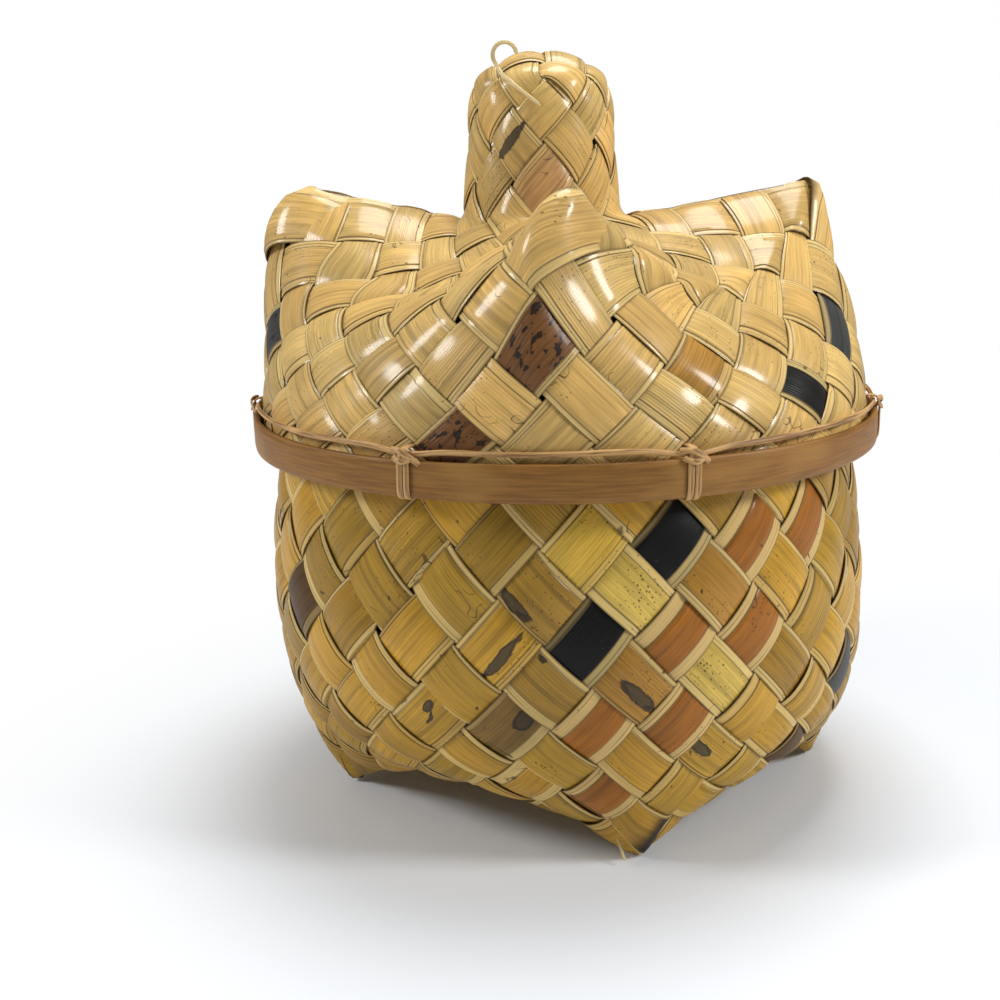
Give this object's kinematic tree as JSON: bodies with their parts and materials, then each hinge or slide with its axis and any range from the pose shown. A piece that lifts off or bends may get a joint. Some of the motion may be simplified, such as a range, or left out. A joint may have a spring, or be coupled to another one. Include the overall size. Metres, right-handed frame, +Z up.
{
  "type": "lidded basket",
  "caption": "Square-bottomed basket plaited on the bias from wide flat splints, with pointed feet and a slip-over lid that has pointed corners, a hollow plaited knob and a lashed rim hoop.",
  "frame": {"origin": "on the basket's axis, at the level that its four feet stand on", "axes": "+Z up along the axis, -Y to the front foot's side, +X to the right"},
  "size_m": [0.2692, 0.2692, 0.3132],
  "materials": {
    "splint": "satin straw-coloured splint with brown and dark stretches",
    "cane": "satin split cane",
    "lashing": "matt split strand"
  },
  "bodies": {
    "base": {"base_splint_a1": "splint", "base_splint_a2": "splint", "base_splint_a3": "splint", "base_splint_a4": "splint", "base_splint_a5": "splint", "base_splint_a6": "splint", "base_splint_a7": "splint", "base_splint_a8": "splint", "base_splint_a9": "splint", "base_splint_a10": "splint", "base_splint_a11": "splint", "base_splint_a12": "splint", "base_splint_b1": "splint", "base_splint_b2": "splint", "base_splint_b3": "splint", "base_splint_b4": "splint", "base_splint_b5": "splint", "base_splint_b6": "splint", "base_splint_b7": "splint", "base_splint_b8": "splint", "base_splint_b9": "splint", "base_splint_b10": "splint", "base_splint_b11": "splint", "base_splint_b12": "splint", "mouth_hoop": "cane"},
    "lid": {"lid_splint_a1": "splint", "lid_splint_a2": "splint", "lid_splint_a3": "splint", "lid_splint_a4": "splint", "knob_splint_a5": "splint", "knob_splint_a6": "splint", "knob_splint_a7": "splint", "knob_splint_a8": "splint", "lid_splint_a9": "splint", "lid_splint_a10": "splint", "lid_splint_a11": "splint", "lid_splint_a12": "splint", "lid_splint_b1": "splint", "lid_splint_b2": "splint", "lid_splint_b3": "splint", "lid_splint_b4": "splint", "knob_splint_b5": "splint", "knob_splint_b6": "splint", "knob_splint_b7": "splint", "knob_splint_b8": "splint", "lid_splint_b9": "splint", "lid_splint_b10": "splint", "lid_splint_b11": "splint", "lid_splint_b12": "splint", "lid_inner_hoop": "cane", "lid_outer_hoop": "cane", "hoop_strand": "lashing", "rim_lashings": "lashing"}
  },
  "joints": [
    {"name": "lid_lift", "type": "slide", "parent": "base", "child": "lid", "axis": [0, 0, 1], "range_m": [0, 0.2]}
  ]
}
